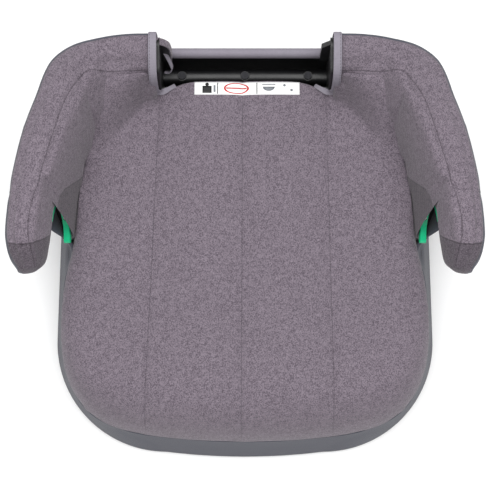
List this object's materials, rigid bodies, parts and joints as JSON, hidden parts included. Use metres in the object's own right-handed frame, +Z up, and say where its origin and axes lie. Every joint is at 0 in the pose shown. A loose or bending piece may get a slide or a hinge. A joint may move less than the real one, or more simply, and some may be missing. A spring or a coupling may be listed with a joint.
{
  "type": "booster seat",
  "caption": "Backless child booster seat with padded arms, belt slots lined by green guides, a notched rear with a cross rail, and retractable anchor connectors.",
  "frame": {"origin": "centre of the footprint, on the surface it stands on", "axes": "+Z up, the seat faces -Y, +X to the right as seen from the front"},
  "size_m": [0.4434, 0.3982, 0.1967],
  "materials": {
    "shell": "fine grained",
    "cover": "heather knit",
    "skirt": "smooth knit",
    "binding": "ribbed elastic tape",
    "foam": "open cell",
    "label": "satin print",
    "guide": "satin",
    "steel": "satin",
    "screw": "zinc plated",
    "rubber": "matte"
  },
  "bodies": {
    "base": {"base_shell": "shell", "base_pan": "shell", "pan_screws": "screw", "rubber_feet": "rubber", "side_skirt": "skirt", "rear_cross_rail": "shell", "rail_screws": "screw", "left_notch_cheek": "shell", "right_notch_cheek": "shell", "notch_binding": "binding", "seat_foam": "foam", "seat_cover": "cover", "info_label": "label", "left_wing": "shell", "right_wing": "shell", "wing_screws": "screw", "left_arm_foam": "foam", "right_arm_foam": "foam", "left_arm_cover": "cover", "right_arm_cover": "cover", "left_belt_guide": "guide", "right_belt_guide": "guide", "guide_screws": "screw", "left_guide_rail": "steel", "right_guide_rail": "steel"},
    "carriage": {"carriage_tube": "steel", "left_slider": "shell", "right_slider": "shell", "left_anchor_arm": "steel", "right_anchor_arm": "steel", "arm_rivets": "screw", "left_connector": "shell", "right_connector": "shell", "left_hook_pin": "steel", "right_hook_pin": "steel", "left_hook_spring": "steel", "right_hook_spring": "steel"},
    "left_hook": {"left_hook": "steel"},
    "right_hook": {"right_hook": "steel"},
    "left_button": {"left_release_button": "guide"},
    "right_button": {"right_release_button": "guide"}
  },
  "joints": [
    {"name": "carriage_slide", "type": "slide", "parent": "base", "child": "carriage", "axis": [0, 1, 0], "range_m": [0, 0.1]},
    {"name": "left_hook_turn", "type": "hinge", "parent": "carriage", "child": "left_hook", "pos_m": [-0.14, 0.144, 0.052], "axis": [1, 0, 0], "range_deg": [-11, 0]},
    {"name": "left_button_slide", "type": "slide", "parent": "carriage", "child": "left_button", "axis": [0, -1, 0], "range_m": [0, 0.006]},
    {"name": "right_hook_turn", "type": "hinge", "parent": "carriage", "child": "right_hook", "pos_m": [0.14, 0.144, 0.052], "axis": [1, 0, 0], "range_deg": [-11, 0]},
    {"name": "right_button_slide", "type": "slide", "parent": "carriage", "child": "right_button", "axis": [0, -1, 0], "range_m": [0, 0.006]}
  ],
  "couplings": [
    {"joint": "left_button_slide", "follows": "left_hook_turn", "m_per_rad": -0.031},
    {"joint": "right_button_slide", "follows": "right_hook_turn", "m_per_rad": -0.031}
  ]
}
